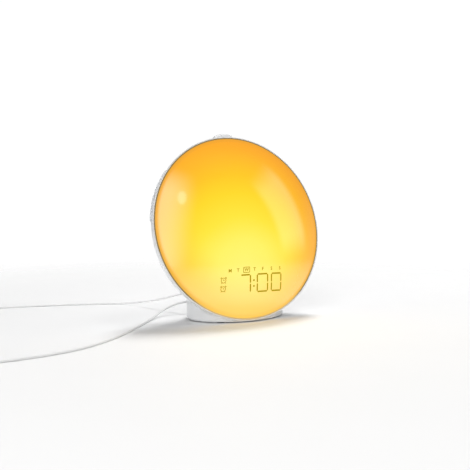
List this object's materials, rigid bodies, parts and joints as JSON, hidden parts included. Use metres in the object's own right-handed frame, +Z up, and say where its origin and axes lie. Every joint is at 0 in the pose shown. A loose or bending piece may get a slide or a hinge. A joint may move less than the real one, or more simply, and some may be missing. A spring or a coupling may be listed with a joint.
{
  "type": "sunrise alarm clock",
  "caption": "Bedside wake-up light: round glowing dome in a tilted housing on an oval foot, time display, side keys, snooze key on top, power lead and wire aerial.",
  "frame": {"origin": "on the table under the middle of the clock without its cords", "axes": "+Z up, -Y out of the face, +X to the right as seen from the front"},
  "size_m": [0.3742, 0.2786, 0.1826],
  "materials": {
    "dome": "gloss, opal, lit from inside",
    "housing": "satin",
    "seal": "matt",
    "key": "satin",
    "snooze": "satin",
    "pad": "matt",
    "inner_white": "matt",
    "inner_black": "matt",
    "board": "semi-gloss lacquer",
    "led": "gloss",
    "smoke": "gloss",
    "segment": "lit",
    "steel": "zinc plated",
    "nickel": "nickel plated",
    "ferrite": "matt",
    "paper_cone": "matt",
    "foam": "matt",
    "ribbon": "satin",
    "cord": "satin",
    "tie": "matt"
  },
  "bodies": {
    "clock": {"aerial_coil": "cord", "aerial_grommet": "pad", "aerial_tie": "tie", "aerial_wire": "cord", "base_plate": "housing", "base_screws": "steel", "board_parts": "inner_black", "board_screws": "steel", "carrier_left": "board", "carrier_right": "board", "cell_contacts": "nickel", "cell_holder": "inner_black", "coin_cell": "nickel", "diffuser": "dome", "display_case": "inner_white", "display_ribbon": "ribbon", "display_segments": "segment", "display_window": "smoke", "jack_socket": "inner_black", "led_board": "board", "leds": "led", "main_board": "board", "plate_screws": "steel", "plug_barrel": "nickel", "power_coil": "cord", "power_cord": "cord", "power_plug": "cord", "power_tie": "tie", "rear_housing": "housing", "reflector": "inner_white", "rim_seal": "seal", "rubber_feet": "pad", "snooze_board": "board", "snooze_switch": "inner_black", "speaker_frame": "steel", "speaker_magnet": "ferrite", "speaker_screws": "steel", "speaker_surround": "foam", "switches_left": "inner_black", "switches_right": "inner_black", "usb_plug": "cord", "usb_shell": "nickel"},
    "snooze_key": {"snooze_key": "snooze"},
    "battery_door": {"battery_door": "housing"},
    "speaker_cone": {"speaker_cone": "paper_cone"},
    "key_left_1": {"key_left_1": "key"},
    "key_left_2": {"key_left_2": "key"},
    "key_left_3": {"key_left_3": "key"},
    "key_left_4": {"key_left_4": "key"},
    "key_right_1": {"key_right_1": "key"},
    "key_right_2": {"key_right_2": "key"},
    "key_right_3": {"key_right_3": "key"},
    "key_right_4": {"key_right_4": "key"}
  },
  "joints": [
    {"name": "snooze_press", "type": "slide", "parent": "clock", "child": "snooze_key", "axis": [0, -0.2419, -0.9703], "range_m": [0, 0.0009], "stiffness_N_per_m": 600, "springref_m": -0.0012},
    {"name": "key_left_1_press", "type": "slide", "parent": "clock", "child": "key_left_1", "axis": [0.8625, -0.505, -0.034], "range_m": [0, 0.0005], "stiffness_N_per_m": 600, "springref_m": -0.001},
    {"name": "key_left_2_press", "type": "slide", "parent": "clock", "child": "key_left_2", "axis": [0.8286, -0.5365, -0.1603], "range_m": [0, 0.0005], "stiffness_N_per_m": 600, "springref_m": -0.001},
    {"name": "key_left_3_press", "type": "slide", "parent": "clock", "child": "key_left_3", "axis": [0.7752, -0.5663, -0.28], "range_m": [0, 0.0005], "stiffness_N_per_m": 600, "springref_m": -0.001},
    {"name": "key_left_4_press", "type": "slide", "parent": "clock", "child": "key_left_4", "axis": [0.7035, -0.5938, -0.3904], "range_m": [0, 0.0005], "stiffness_N_per_m": 600, "springref_m": -0.001},
    {"name": "key_right_1_press", "type": "slide", "parent": "clock", "child": "key_right_1", "axis": [-0.8625, -0.505, -0.034], "range_m": [0, 0.0005], "stiffness_N_per_m": 600, "springref_m": -0.001},
    {"name": "key_right_2_press", "type": "slide", "parent": "clock", "child": "key_right_2", "axis": [-0.8286, -0.5365, -0.1603], "range_m": [0, 0.0005], "stiffness_N_per_m": 600, "springref_m": -0.001},
    {"name": "key_right_3_press", "type": "slide", "parent": "clock", "child": "key_right_3", "axis": [-0.7752, -0.5663, -0.28], "range_m": [0, 0.0005], "stiffness_N_per_m": 600, "springref_m": -0.001},
    {"name": "key_right_4_press", "type": "slide", "parent": "clock", "child": "key_right_4", "axis": [-0.7035, -0.5938, -0.3904], "range_m": [0, 0.0005], "stiffness_N_per_m": 600, "springref_m": -0.001},
    {"name": "cone_travel", "type": "slide", "parent": "clock", "child": "speaker_cone", "axis": [0, 0.9703, -0.2419], "range_m": [-0.0005, 0.0005], "stiffness_N_per_m": 1500, "deforming": ["speaker_surround"]},
    {"name": "cap_turn", "type": "hinge", "parent": "clock", "child": "battery_door", "pos_m": [0.022, 0.008, 0], "axis": [0, 0, 1], "range_deg": [0, 40]}
  ]
}
